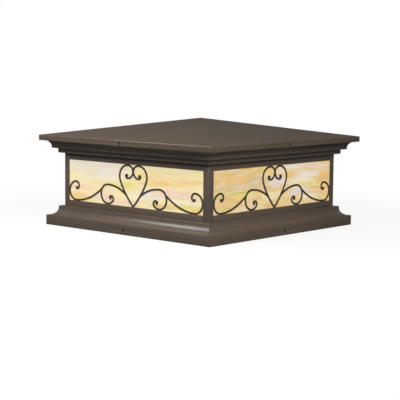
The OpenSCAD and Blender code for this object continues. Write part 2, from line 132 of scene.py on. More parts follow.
def pull(step, scale=None):
    """Extrudes what is selected by a step, and scales the new end about the light's axis."""
    bpy.ops.mesh.extrude_region_move(TRANSFORM_OT_translate={"value": step})
    if scale is not None:
        bpy.ops.transform.resize(value=(scale, scale, 1), center_override=(0, 0, 0))


def named(name):
    piece = bpy.context.object
    piece.name = piece.data.name = name
    return piece


def square_ring(name, path):
    """Pulls a square outline along a path of (half, height), so that its corners are mitred."""
    half, z = path[0]
    clear()
    bpy.ops.mesh.primitive_plane_add(size=2 * half * MM, location=(0, 0, z * MM))
    piece = named(name)
    bpy.ops.object.transform_apply(location=True)
    edit(piece)
    bpy.ops.mesh.select_all(action="SELECT")
    bpy.ops.mesh.delete(type="ONLY_FACE")
    bpy.ops.mesh.select_mode(type="EDGE")
    bpy.ops.mesh.select_all(action="SELECT")
    for (half_0, z_0), (half_1, z_1) in zip(path, path[1:]):
        pull((0, 0, (z_1 - z_0) * MM), half_1 / half_0)
    bpy.ops.mesh.select_all(action="SELECT")
    bpy.ops.mesh.remove_doubles(threshold=MERGE)
    return piece


def strip(name, path, length):
    """Pulls an edge of a given length, which lies along X, through a path of (half, height) at the front."""
    half, z = path[0]
    clear()
    bpy.ops.mesh.primitive_plane_add(size=length * MM, location=(0, (length / 2 - half) * MM, z * MM))
    piece = named(name)
    bpy.ops.object.transform_apply(location=True)
    edit(piece)
    pick("VERT", lambda v: v.co.y > (length / 2 - half) * MM)
    bpy.ops.mesh.delete(type="VERT")
    bpy.ops.mesh.select_mode(type="EDGE")
    bpy.ops.mesh.select_all(action="SELECT")
    for (half_0, z_0), (half_1, z_1) in zip(path, path[1:]):
        pull((0, (half_0 - half_1) * MM, (z_1 - z_0) * MM))
    return piece


def fold_angle(edge):
    return edge.calc_face_angle(0) if len(edge.link_faces) == 2 else 0


def round_folds(radius, least=25, where=lambda edge: True):
    """In edit mode, rounds the folds sharper than an angle."""
    pick("EDGE", lambda e: fold_angle(e) > math.radians(least) and where(e))
    bpy.ops.mesh.bevel(offset=radius, segments=FOLD_SEGMENTS, affect="EDGES", clamp_overlap=True)


def face_out(outwards):
    """In edit mode, turns the sheet's faces out. outwards(face) is positive where a face points that way."""
    bpy.ops.mesh.select_all(action="SELECT")
    bpy.ops.mesh.normals_make_consistent(inside=False)
    mesh = bmesh.from_edit_mesh(bpy.context.object.data)
    if sum(outwards(f) * f.calc_area() for f in mesh.faces) < 0:
        bpy.ops.mesh.flip_normals()


def modify(piece, kind, **settings):
    """Adds a modifier and applies it."""
    only(piece)
    modifier = piece.modifiers.new(kind.title(), kind)
    for key, value in settings.items():
        setattr(modifier, key, value)
    bpy.ops.object.modifier_apply(modifier=modifier.name)


def thicken(piece):
    """Gives a sheet its thickness, inwards from its outer face."""
    modify(piece, "SOLIDIFY", thickness=SHEET, offset=-1, use_even_offset=True, use_quality_normals=True)


def soften(piece, width, least=50):
    """Breaks the sharp edges, and shades the rest smooth."""
    edges = {"limit_method": "ANGLE", "angle_limit": math.radians(least)}
    modify(piece, "BEVEL", width=width, segments=EDGE_SEGMENTS, **edges)
    only(piece)
    bpy.ops.object.shade_smooth_by_angle(angle=SMOOTH_BELOW)


def drill(piece, radius, at, along):
    """Cuts a round hole of a radius through the piece at a point, along a direction."""
    clear()
    bpy.ops.mesh.primitive_cylinder_add(vertices=32, radius=radius * MM, depth=DRILL_DEPTH)
    cutter = named("drill")
    turn = Vector(along).to_track_quat("Z", "Y").to_matrix().to_4x4()
    cutter.data.transform(Matrix.Translation(at) @ turn)
    modify(piece, "BOOLEAN", operation="DIFFERENCE", solver="EXACT", object=cutter)
    bpy.data.objects.remove(cutter)


def turned_copy(piece, name, side):
    """Copies a piece of the front side, with a mesh of its own, onto another side of the light."""
    copy = piece.copy()
    copy.data = piece.data.copy()
    copy.name = copy.data.name = name
    bpy.context.scene.collection.objects.link(copy)
    copy.data.transform(Matrix.Rotation(math.pi / 2 * side, 4, "Z"))
    return copy


def stand_for(piece, nodes, material, body="lantern"):
    """Puts a finished piece in place of the frame's nodes."""
    piece.data.materials.clear()
    piece.data.materials.append(material)
    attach(piece, body)
    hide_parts(*nodes)


def dress(node, material):
    """Gives a frame node that stays its material."""
    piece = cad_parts[node]
    piece.data.materials.clear()
    piece.data.materials.append(material)


# Shader maths


def linear(red, green, blue):
    """A colour given as it looks on screen, 0 to 255, as the shader's linear values."""
    values = [c / 255 for c in (red, green, blue)]
    return tuple(v / 12.92 if v <= 0.04045 else ((v + 0.055) / 1.055) ** 2.4 for v in values) + (1,)


def shade(tone, share):
    """A colour made lighter or darker by a share."""
    return tuple(c * share for c in tone[:3]) + (1,)


class Wire:
    """A shader socket that can be added and multiplied in an expression."""

    def __init__(self, finish, socket):
        self.finish, self.socket = finish, socket

    def _maths(self, operation, *values):
        return self.finish.node("ShaderNodeMath", {"operation": operation}, dict(enumerate(values)))

    def __add__(self, other):
        return self._maths("ADD", self, other)

    def __mul__(self, other):
        return self._maths("MULTIPLY", self, other)

    __radd__, __rmul__ = __add__, __mul__

    def steps(self, low, high):
        """0 below low, 1 above high and a smooth rise between; low may be the higher one."""
        values = {0: self, 1: low, 2: high, 3: 0.0, 4: 1.0}
        return self.finish.node("ShaderNodeMapRange", {"interpolation_type": "SMOOTHSTEP"}, values)


class Finish:
    """A material with a Principled shader, built up from wires."""

    def __init__(self, name, **constants):
        self.material = bpy.data.materials.new(name)
        self.material.use_nodes = True
        self.tree = self.material.node_tree
        self.tree.nodes.clear()
        self.output = self.tree.nodes.new("ShaderNodeOutputMaterial")
        self.shader = self.tree.nodes.new("ShaderNodeBsdfPrincipled")
        self.tree.links.new(self.shader.outputs[0], self.output.inputs["Surface"])
        self.set(**constants)
        self.place = self.node("ShaderNodeTexCoord", out="Object")

    def set(self, **values):
        """Sets the Principled shader's sockets; Base_Color stands for Base Color."""
        for key, value in values.items():
            self._join(self.shader.inputs[key.replace("_", " ")], value)

    def _join(self, socket, value):
        if isinstance(value, Wire):
            self.tree.links.new(value.socket, socket)
        else:
            socket.default_value = value

    def node(self, kind, settings=None, values=None, out=0):
        """Adds any node: its settings first, then the values or wires of its sockets. Returns one output."""
        node = self.tree.nodes.new(kind)
        for key, value in (settings or {}).items():
            setattr(node, key, value)
        for key, value in (values or {}).items():
            self._join(node.inputs[key], value)
        return Wire(self, node.outputs[out])

    def vector(self, operation, *values, out=0):
        return self.node("ShaderNodeVectorMath", {"operation": operation}, dict(enumerate(values)), out)

    def mapped(self, place, scale=(1, 1, 1), turn=(0, 0, 0), shift=(0, 0, 0)):
        values = {"Vector": place, "Location": shift, "Rotation": turn, "Scale": scale}
        return self.node("ShaderNodeMapping", None, values)

    def noise(self, place, scale, detail=3.0, rough=0.5, out=0):
        values = {"Vector": place, "Scale": scale, "Detail": detail, "Roughness": rough}
        return self.node("ShaderNodeTexNoise", None, values, out)

    def blend(self, factor, first, second, mode="MIX"):
        settings = {"data_type": "RGBA", "blend_type": mode, "clamp_factor": True}
        return self.node("ShaderNodeMix", settings, {0: factor, 6: first, 7: second}, 2)

    def bump(self, height, distance):
        """Bumps the surface by a height from 0 to 1, over a distance in metres."""
        normal = self.node("ShaderNodeBump", None, {"Strength": 1.0, "Distance": distance, "Height": height})
        self.set(Normal=normal)


def powder_coat(name, tone, roughness=0.34):
    """Satin bronze powder coat: a fine orange peel, and a slight cloudiness of tone and gloss."""
    finish = Finish(name, Specular_IOR_Level=0.6)
    cloud = finish.noise(finish.place, 5.0, 2.0)
    peel = finish.noise(finish.place, 900.0, 2.0)
    speck = finish.noise(finish.place, 2600.0, 1.0)
    finish.set(
        Base_Color=finish.blend(cloud.steps(0.3, 0.7), shade(tone, 0.96), shade(tone, 1.04)),
        Roughness=cloud * 0.04 + speck * 0.06 + (roughness - 0.05),
    )
    finish.bump(peel + speck * 0.3, 0.000018)
    return finish.material


def bare_metal(name, tone, grain=(40, 900, 900), roughness=0.34, spangle=0.0):
    """Plated or galvanised steel, and brass: drawn lines, and the crystals of hot-dip zinc if asked for."""
    finish = Finish(name, Metallic=0.45)
    lines = finish.noise(finish.mapped(finish.place, scale=grain), 1.0, 4.0)
    cloud = finish.noise(finish.place, 30.0, 2.0)
    bright = lines * 0.25 + cloud * 0.35
    if spangle:
        crystal = finish.node("ShaderNodeTexVoronoi", None, {"Vector": finish.place, "Scale": 110.0}, 1)
        grey = finish.node("ShaderNodeSeparateColor", None, {0: crystal})
        bright = bright + grey * spangle
    finish.set(
        Base_Color=finish.blend(bright, shade(tone, 0.62), tone),
        Roughness=bright * 0.25 + (roughness - 0.1),
    )
    finish.bump(lines, 0.00002)
    return finish.material


def moulded(name, tone, roughness=0.45, scale=500.0):
    """Plastic, rubber and glazed porcelain: a fine grain and a faint unevenness of tone."""
    finish = Finish(name)
    grain = finish.noise(finish.place, scale, 2.0)
    cloud = finish.noise(finish.place, 25.0, 2.0)
    finish.set(
        Base_Color=finish.blend(cloud, shade(tone, 0.8), tone),
        Roughness=grain * 0.1 + (roughness - 0.05),
    )
    finish.bump(grain, 0.00004)
    return finish.material


# Tints of the art glass, as they look on screen
PEARL = linear(232, 225, 212)
CREAM = linear(240, 230, 196)
STRAW = linear(242, 224, 164)
AMBER = linear(244, 212, 142)
PEACH = linear(242, 212, 180)
ROSE = linear(238, 204, 182)
LILAC = linear(224, 211, 208)
HONEY = linear(235, 195, 112)
LIME = linear(226, 212, 112)
ORANGE = linear(240, 184, 92)
GOLD = linear(221, 184, 112)
MOSS = linear(208, 184, 98)
TAUPE = linear(206, 184, 146)
# The two tints under each panel's washes
GROUNDS = {
    "front": (STRAW, CREAM),
    "right": (GOLD, STRAW),
    "rear": (STRAW, CREAM),
    "left": (AMBER, STRAW),
}
# Washes of colour on each panel, seen from outside: across, up, half length, half height, tint, strength
WASHES = {
    "front": (
        (-210, 44, 110, 26, PEARL, 1.0),
        (-120, 34, 110, 30, PEARL, 1.0),
        (-168, 26, 26, 10, LIME, 0.3),
        (-110, -3, 60, 7, LIME, 0.5),
        (-205, -14, 70, 9, ROSE, 0.7),
        (-215, -43, 60, 13, HONEY, 1.0),
        (-120, -34, 50, 12, ROSE, 0.8),
        (-50, -46, 70, 9, ROSE, 0.9),
        (20, 26, 30, 16, AMBER, 0.7),
        (-10, -2, 50, 9, LIME, 0.7),
        (14, -26, 50, 12, CREAM, 0.9),
        (100, 20, 90, 20, AMBER, 1.0),
        (90, 11, 70, 9, HONEY, 0.8),
        (190, 34, 90, 16, STRAW, 0.9),
        (205, 24, 60, 9, HONEY, 0.7),
        (70, -20, 50, 11, PEARL, 1.0),
        (150, -12, 80, 12, ROSE, 1.0),
        (190, -28, 70, 8, CREAM, 0.8),
        (180, -40, 70, 8, LIME, 0.9),
        (100, -46, 60, 8, GOLD, 0.9),
        (232, -50, 40, 8, HONEY, 1.0),
    ),
    "right": (
        (-215, 36, 90, 26, GOLD, 1.0),
        (-130, 32, 70, 22, GOLD, 0.8),
        (-150, 26, 60, 9, ORANGE, 0.6),
        (-180, 9, 100, 8, TAUPE, 1.0),
        (-75, 20, 50, 20, TAUPE, 0.8),
        (-190, -8, 90, 12, MOSS, 1.0),
        (-120, -18, 60, 10, LIME, 0.7),
        (-200, -32, 80, 20, GOLD, 1.0),
        (-180, -44, 90, 9, MOSS, 0.8),
        (-100, -47, 60, 8, ROSE, 0.9),
        (-22, 38, 30, 16, HONEY, 0.8),
        (8, 12, 44, 16, LILAC, 1.0),
        (30, 36, 24, 14, PEACH, 0.8),
        (0, -20, 60, 12, STRAW, 0.9),
        (110, 48, 100, 9, PEARL, 1.0),
        (190, 46, 80, 9, ROSE, 0.9),
        (95, 27, 40, 8, ORANGE, 0.8),
        (150, 22, 80, 14, PEARL, 1.0),
        (110, 6, 80, 9, CREAM, 0.9),
        (150, -5, 70, 8, LIME, 0.9),
        (230, 20, 36, 12, ORANGE, 1.0),
        (226, -22, 40, 18, ORANGE, 0.9),
        (105, -18, 50, 13, LILAC, 1.0),
        (150, -36, 50, 10, CREAM, 0.8),
        (70, -44, 40, 8, HONEY, 0.6),
        (232, -48, 40, 8, HONEY, 0.9),
    ),
    "rear": (
        (-160, 34, 120, 20, STRAW, 0.9),
        (-120, -24, 120, 16, ROSE, 0.8),
        (-10, 20, 80, 22, AMBER, 0.7),
        (30, -16, 90, 14, LIME, 0.7),
        (120, 36, 110, 16, PEARL, 0.8),
        (190, 8, 80, 16, HONEY, 0.8),
        (180, -36, 100, 14, PEACH, 0.7),
    ),
    "left": (
        (-180, 30, 90, 22, PEARL, 0.8),
        (-150, -4, 120, 14, AMBER, 0.8),
        (-160, -40, 110, 12, ROSE, 0.7),
        (-20, 34, 100, 14, PEACH, 0.8),
        (10, -20, 90, 18, CREAM, 0.8),
        (140, 32, 110, 18, ORANGE, 0.6),
        (170, 0, 100, 12, LIME, 0.8),
        (150, -38, 110, 12, HONEY, 0.7),
    ),
}
# Mottles that the whole glass carries: tint, how often it comes, strength
MOTTLES = (
    (ROSE, 0.54, 0.3),
    (LIME, 0.57, 0.3),
    (AMBER, 0.56, 0.22),
    (LILAC, 0.55, 0.34),
    (CREAM, 0.54, 0.3),
)
# How strongly the glass glows with its own colour: painted light, as the lamps inside give none
GLASS_PAINTED_GLOW = 0.64


def art_glass(side):
    """Streaky opalescent glass: long washes of pastel colour, mottles inside them, hair-fine streaks, and a
    painted glow that stands in for the light through it.
    """
    number = SIDES.index(side)
    finish = Finish("art_glass_" + side, Roughness=0.22, IOR=1.5)
    middle = (OPENING_Z0 + OPENING_Z1) / 2
    flat = finish.mapped(finish.place, turn=(0, 0, -math.pi / 2 * number), shift=(0, 0, -middle))
    seeded = finish.vector("ADD", flat, (0, 3.7 * number, 0))

    def warp(scale, reach):
        """A shift of place that wanders across and up, up to about half of reach."""
        noise = finish.noise(finish.mapped(seeded, scale=scale), 1.0, 3.0, out=1)
        return finish.vector("MULTIPLY", finish.vector("SUBTRACT", noise, (0.5, 0.5, 0.5)), reach)

    def drawn_noise(scale, seed, detail=3.0, rough=0.6):
        """Noise drawn out sideways, as the glass was."""
        place = finish.mapped(drawn, scale=scale, shift=(0, seed + 9.1 * number, 0))
        return finish.noise(place, 1.0, detail, rough)

    drawn = finish.vector("ADD", flat, warp((5, 1, 20), (0.10, 0, 0.018)))
    drawn = finish.vector("ADD", drawn, warp((24, 1, 90), (0.03, 0, 0.007)))
    streaks = drawn_noise((12, 1, 110), 0.0, 5.0)
    colour = finish.blend(streaks.steps(0.4, 0.6) * 0.5, *GROUNDS[side])
    for across, up, half_length, half_height, tint, strength in WASHES[side]:
        offset = finish.vector("SUBTRACT", drawn, (across * MM, 0, up * MM))
        offset = finish.vector("MULTIPLY", offset, (1 / (half_length * MM), 0, 1 / (half_height * MM)))
        reach = finish.vector("LENGTH", offset, out=1)
        colour = finish.blend(reach.steps(1.3, 0.35) * (streaks * 1.4 + 0.4) * strength, colour, tint)
    for seed, (tint, often, strength) in enumerate(MOTTLES):
        mottle = drawn_noise((18, 1, 100), 2.3 + 1.7 * seed, 4.0)
        colour = finish.blend(mottle.steps(often - 0.1, often + 0.14) * strength, colour, tint)
    hairs = drawn_noise((60, 1, 700), 1.1, 2.0)
    specks = drawn_noise((260, 1, 420), 4.9, 2.0)
    light = hairs * 0.10 + streaks * 0.10 + specks * 0.16 + 0.82
    grey = finish.node("ShaderNodeCombineXYZ", None, {0: light, 1: light, 2: light})
    colour = finish.blend(1.0, colour, grey, "MULTIPLY")
    # Painted light: the glass glows with its colour, standing in for the light that passes through it so that
    # it stays evenly bright under the overhangs; it reflects half of its colour
    finish.set(
        Base_Color=finish.blend(1.0, colour, (0.5, 0.5, 0.5, 1), "MULTIPLY"),
        Emission_Color=colour,
        Emission_Strength=GLASS_PAINTED_GLOW,
    )
    ripple = finish.noise(finish.mapped(seeded, scale=(40, 1, 70)), 1.0, 2.0)
    finish.bump(ripple + hairs * 0.1, 0.0006)
    return finish.material


# Settings that a user would change


class PierLightSizes(bpy.types.PropertyGroup):
    fold_radius: bpy.props.FloatProperty(
        name="Fold radius",
        description="Radius of the folds in the sheet mouldings",
        default=0.001,
        unit="LENGTH",
    )
    corner_radius: bpy.props.FloatProperty(
        name="Corner radius",
        description="Radius of the roof's ground corners and hips",
        default=0.0016,
        unit="LENGTH",
    )
    edge_break: bpy.props.FloatProperty(
        name="Edge break",
        description="Width of the broken edges of sheet and bars",
        default=0.00025,
        unit="LENGTH",
    )
    bar_width: bpy.props.FloatProperty(
        name="Bar width",
        description="Width of the scroll bars",
        default=0.0052,
        unit="LENGTH",
    )
    ripple: bpy.props.FloatProperty(
        name="Glass ripple",
        description="Depth of the ripples in the glass",
        default=0.0003,
        unit="LENGTH",
    )


class PierLightColours(bpy.types.PropertyGroup):
    bronze: bpy.props.FloatVectorProperty(
        name="Bronze",
        description="Colour of the powder coat",
        size=4,
        subtype="COLOR",
        default=linear(94, 82, 71),
    )
    scroll: bpy.props.FloatVectorProperty(
        name="Scroll bronze",
        description="Colour of the overlays",
        size=4,
        subtype="COLOR",
        default=linear(66, 57, 51),
    )
    floor: bpy.props.FloatVectorProperty(
        name="Floor",
        description="Colour of the floor",
        size=4,
        subtype="COLOR",
        default=(0.9, 0.9, 0.9, 1),
    )


def sizes():
    """The sizes as the user has them."""
    return bpy.context.scene.pier_light_sizes


def colours():
    """The colours as the user has them."""
    return bpy.context.scene.pier_light_colours


def kept(name, make):
    """A material by name, made the first time that it is asked for."""
    return bpy.data.materials.get(name) or make()


def bronze():
    return kept("bronze_coat", lambda: powder_coat("bronze_coat", tuple(colours().bronze)))


def porcelain():
    return kept("glazed_porcelain", lambda: moulded("glazed_porcelain", linear(238, 235, 228), 0.16, 60.0))


# Outlines, as (half, height)


def arc(centre, radius, start, end, steps):
    """Points on an arc between two angles in degrees."""
    angles = [math.radians(start + (end - start) * k / steps) for k in range(steps + 1)]
    return [(centre[0] + radius * math.cos(a), centre[1] + radius * math.sin(a)) for a in angles]


ROOF_PITCH = math.degrees(math.atan(50.2 / 319.1))
ROOF_OUTLINE = [
    (311.2, 236.3),
    (319.1, 236.3),
    *arc((316.6, 248.9625), 2.5, 0, 90 - ROOF_PITCH, 6),
    (0.001, 301.3),
]
CROWN_OUTLINE = [
    (267.8, 215.8),
    (267.8, 201.8),
    (281.0, 201.8),
    (281.0, 214.8),
    (293.7, 214.8),
    (293.7, 218.8),
    *arc((311.2, 218.8), 17.5, 180, 91.64, 16)[1:],
    (310.7, 247.55),
    (290.7, 247.55),
]
BASE_OUTLINE = [
    (235.0, 52.8),
    (280.0, 52.8),
    (280.0, 49.0),
    *arc((302.0, 49.0), 22.0, 180, 270, 18)[1:],
    (305.0, 27.0),
    (305.0, 0.0),
]
# Radius of the screws' sight holes, and the heights of their middles
SIGHT_HOLE = 3.3
ROOF_SCREW_Z = 242 * MM
SKIRT_SCREW_Z = 11.3 * MM
# Scroll bars on the right-hand half of a panel: start, heading, and arcs of (radius, turn)
SCROLL_BARS = (
    (
        (-0.4, -0.1),
        45.1,
        ((270, 11.8), (160, 10.8), (29.8, 134), (14.4, 55), (18.3, 114), (6, 69), (3.3, 135)),
    ),
    (
        (25.7, 30.1),
        38.5,
        ((110, -40), (25.6, -80), (26.3, -98), (25.9, -45.5), (8.2, -153.5), (4.4, -105)),
    ),
    (
        (118.5, 41.1),
        -36.9,
        ((313, 5.1), (156.5, 30.4), (26.3, 99), (25.3, 85), (11, 105), (7.8, 67), (3.8, 56)),
    ),
)
# Radius of the round end of each bar, and the degrees that one step of a bend turns
PEA = 4.3
BEND_STEP = 3
# Cuts along and up a pane, between which its ripples lie, and the width of its ground edges
PANE_CUTS = (71, 19)
PANE_EDGE = 0.5 * MM
# What the floor looks like to the light that comes off the object, rather than to the camera
FLOOR_UNSEEN = (0.12, 0.12, 0.12, 1)
# Softboxes: azimuth and elevation in degrees, distance and width in metres, power in watts
SOFTBOXES = {
    "key_softbox": (69, 27, 2.2, 1.2, 34),
    "side_softbox": (-24, 36, 1.25, 0.55, 8.6),
    "low_softbox": (0, 22, 1.3, 0.5, 1.2),
    "fill_softbox": (12, 34, 2.0, 1.0, 6.6),
    "overhead_softbox": (30, 82, 2.2, 1.2, 3),
    "rear_softbox": (190, 3, 2.2, 0.5, 14),
    "far_side_softbox": (262, 3, 2.2, 0.5, 14),
}
# The terminal block: its poles, the width and rise of its barriers, its broken edges, and its wells' radius
POLES = 3
BARRIER_W = 1.6 * MM
BARRIER_RISE = 3 * MM
BLOCK_EDGE = 0.2 * MM
TERMINAL_WELL = 2.4


class PIERLIGHT_OT_roof(bpy.types.Operator):
    """Folds the hipped roof with its fascia, return and screw holes"""

    bl_idname = "pier_light.roof"
    bl_label = "Roof"

    def execute(self, context):
        piece = square_ring("roof_shell", ROOF_OUTLINE)
        round_folds(sizes().corner_radius, least=5, where=is_hip_or_corner)
        face_out(lambda f: f.normal.z)
        bpy.ops.object.mode_set(mode="OBJECT")
        thicken(piece)
        for side in range(4):
            out = Matrix.Rotation(math.pi / 2 * side, 3, "Z") @ Vector((0, -1, 0))
            drill(piece, SIGHT_HOLE, out * ROOF + Vector((0, 0, ROOF_SCREW_Z)), out)
        soften(piece, sizes().edge_break)
        stand_for(piece, ["roof_cap"], bronze(), "roof")
        return {"FINISHED"}


def is_hip_or_corner(edge):
    """Tells the roof's hips and its fascia's upright corners from the bend's short edges between them."""
    low, high = sorted(v.co.z for v in edge.verts)
    return is_mitre(edge) and (high > PEAK_Z - MM or high - low > 10 * MM)


def is_mitre(edge):
    """Tells whether an edge lies above a diagonal of the light's plan."""
    return all(abs(abs(v.co.x) - abs(v.co.y)) < 0.05 * MM for v in edge.verts)


def four_lengths(ring, names):
    """Cuts the front length out of a ring at its mitres, and copies it to the other sides."""
    edit(ring)
    for across in (1, -1):
        bpy.ops.mesh.select_all(action="SELECT")
        bpy.ops.mesh.bisect(
            plane_co=(0, 0, 0), plane_no=(across, 1, 0), clear_outer=True, use_fill=True, threshold=ON_PLANE
        )
    bpy.ops.object.mode_set(mode="OBJECT")
    only(ring)
    bpy.ops.object.shade_smooth_by_angle(angle=SMOOTH_BELOW)
    for side, name in enumerate(names):
        piece = turned_copy(ring, name + "_length", side)
        stand_for(piece, [name], bronze())
    bpy.data.objects.remove(ring)


class PIERLIGHT_OT_crown(bpy.types.Operator):
    """Folds the crown moulding and cuts it into four mitred lengths"""

    bl_idname = "pier_light.crown"
    bl_label = "Crown"

    def execute(self, context):
        ring = square_ring("crown_ring", CROWN_OUTLINE)
        round_folds(sizes().fold_radius, where=lambda e: not is_mitre(e))
        face_out(lambda f: f.normal.dot(Vector((*f.calc_center_median().xy, 0))) - 0.05)
        bpy.ops.object.mode_set(mode="OBJECT")
        thicken(ring)
        soften(ring, sizes().edge_break)
        four_lengths(ring, ["crown_" + side for side in SIDES])
        return {"FINISHED"}


class PIERLIGHT_OT_base(bpy.types.Operator):
    """Folds the base moulding with its screw holes and cuts it into four mitred lengths"""

    bl_idname = "pier_light.base"
    bl_label = "Base"

    def execute(self, context):
        ring = square_ring("base_ring", BASE_OUTLINE)
        round_folds(sizes().fold_radius, where=lambda e: not is_mitre(e))
        face_out(lambda f: f.normal.z + f.normal.dot(f.calc_center_median().normalized()))
        bpy.ops.object.mode_set(mode="OBJECT")
        thicken(ring)
        drill(ring, SIGHT_HOLE, Vector((0, -BASE_OUTLINE[-1][0] * MM, SKIRT_SCREW_Z)), (0, -1, 0))
        soften(ring, sizes().edge_break)
        four_lengths(ring, ["base_" + side for side in SIDES])
        return {"FINISHED"}


class PIERLIGHT_OT_frame(bpy.types.Operator):
    """Folds the corner posts and the rails of the body"""

    bl_idname = "pier_light.frame"
    bl_label = "Frame"

    def execute(self, context):
        rail_length = 2 * OPENING / MM
        half, flange = BODY / MM, FLANGE / MM
        top = [(flange, FRAME_TOP / MM), (half, FRAME_TOP / MM), (half, OPENING_Z1 / MM)]
        bottom = [(half, OPENING_Z0 / MM), (half, LEDGE_Z / MM), (flange, LEDGE_Z / MM)]
        for kind, path, up in (("top_rail", top, 1), ("bottom_rail", bottom, -1)):
            rail = strip(kind, path, rail_length)
            round_folds(sizes().fold_radius)
            face_out(lambda f: f.normal.z * up - f.normal.y)
            bpy.ops.object.mode_set(mode="OBJECT")
            thicken(rail)
            soften(rail, sizes().edge_break)
            for side, word in enumerate(SIDES):
                sheet = turned_copy(rail, f"{kind}_{word}_sheet", side)
                stand_for(sheet, [f"{kind}_{word}"], bronze())
            bpy.data.objects.remove(rail)
        post = self.post()
        for corner, word in enumerate(CORNERS):
            sheet = turned_copy(post, f"post_{word}_sheet", corner)
            stand_for(sheet, ["post_" + word], bronze())
        bpy.data.objects.remove(post)
        return {"FINISHED"}

    def post(self):
        """An angle with its corner out, pulled up from its plan."""
        clear()
        middle = POST_W / 2 - BODY
        bpy.ops.mesh.primitive_plane_add(size=POST_W, location=(middle, middle, LEDGE_Z))
        post = named("post")
        bpy.ops.object.transform_apply(location=True)
        edit(post)
        pick("VERT", lambda v: v.co.x > middle and v.co.y > middle)
        bpy.ops.mesh.delete(type="VERT")
        bpy.ops.mesh.select_mode(type="EDGE")
        bpy.ops.mesh.select_all(action="SELECT")
        pull((0, 0, FRAME_TOP - LEDGE_Z))
        round_folds(sizes().fold_radius)
        face_out(lambda f: -f.normal.x - f.normal.y)
        bpy.ops.object.mode_set(mode="OBJECT")
        thicken(post)
        soften(post, sizes().edge_break)
        return post


class PIERLIGHT_OT_glass(bpy.types.Operator):
    """Casts the four rippled art-glass panels"""

    bl_idname = "pier_light.glass"
    bl_label = "Art glass"

    def execute(self, context):
        for side, word in enumerate(SIDES):
            stand_for(self.panel(word, side), ["glass_" + word], art_glass(word))
        return {"FINISHED"}

    def panel(self, word, side):
        """A slab whose two faces are subdivided and rippled inwards."""
        clear()
        thick = GLASS_FACE - GLASS_BACK
        middle = Vector((0, -(GLASS_FACE + GLASS_BACK) / 2, (GLASS_Z0 + GLASS_Z1) / 2))
        bpy.ops.mesh.primitive_cube_add(size=1)
        pane = named(f"glass_{word}_pane")
        pane.data.transform(
            Matrix.Translation(middle) @ Matrix.Diagonal((2 * GLASS_HALF, thick, GLASS_Z1 - GLASS_Z0, 1))
        )
        edit(pane)
        pick("EDGE", lambda e: abs(e.verts[0].co.x - e.verts[1].co.x) > GLASS_HALF)
        bpy.ops.mesh.subdivide(number_cuts=PANE_CUTS[0])
        pick("EDGE", lambda e: abs(e.verts[0].co.z - e.verts[1].co.z) > 100 * MM)
        bpy.ops.mesh.subdivide(number_cuts=PANE_CUTS[1])
        bpy.ops.object.mode_set(mode="OBJECT")
        ripple = bpy.data.textures.new("ripple_" + word, "CLOUDS")
        ripple.noise_scale = 0.035 + 0.004 * side
        group = pane.vertex_groups.new(name="faces")
        inner = [
            v.index
            for v in pane.data.vertices
            if abs(v.co.x) < GLASS_HALF - MM and GLASS_Z0 + MM < v.co.z < GLASS_Z1 - MM
        ]
        group.add(inner, 1.0, "REPLACE")
        where = {"vertex_group": "faces", "texture_coords": "LOCAL"}
        modify(pane, "DISPLACE", texture=ripple, strength=sizes().ripple, mid_level=1.0, **where)
        soften(pane, PANE_EDGE)
        pane.data.transform(Matrix.Rotation(math.pi / 2 * side, 4, "Z"))
        return pane


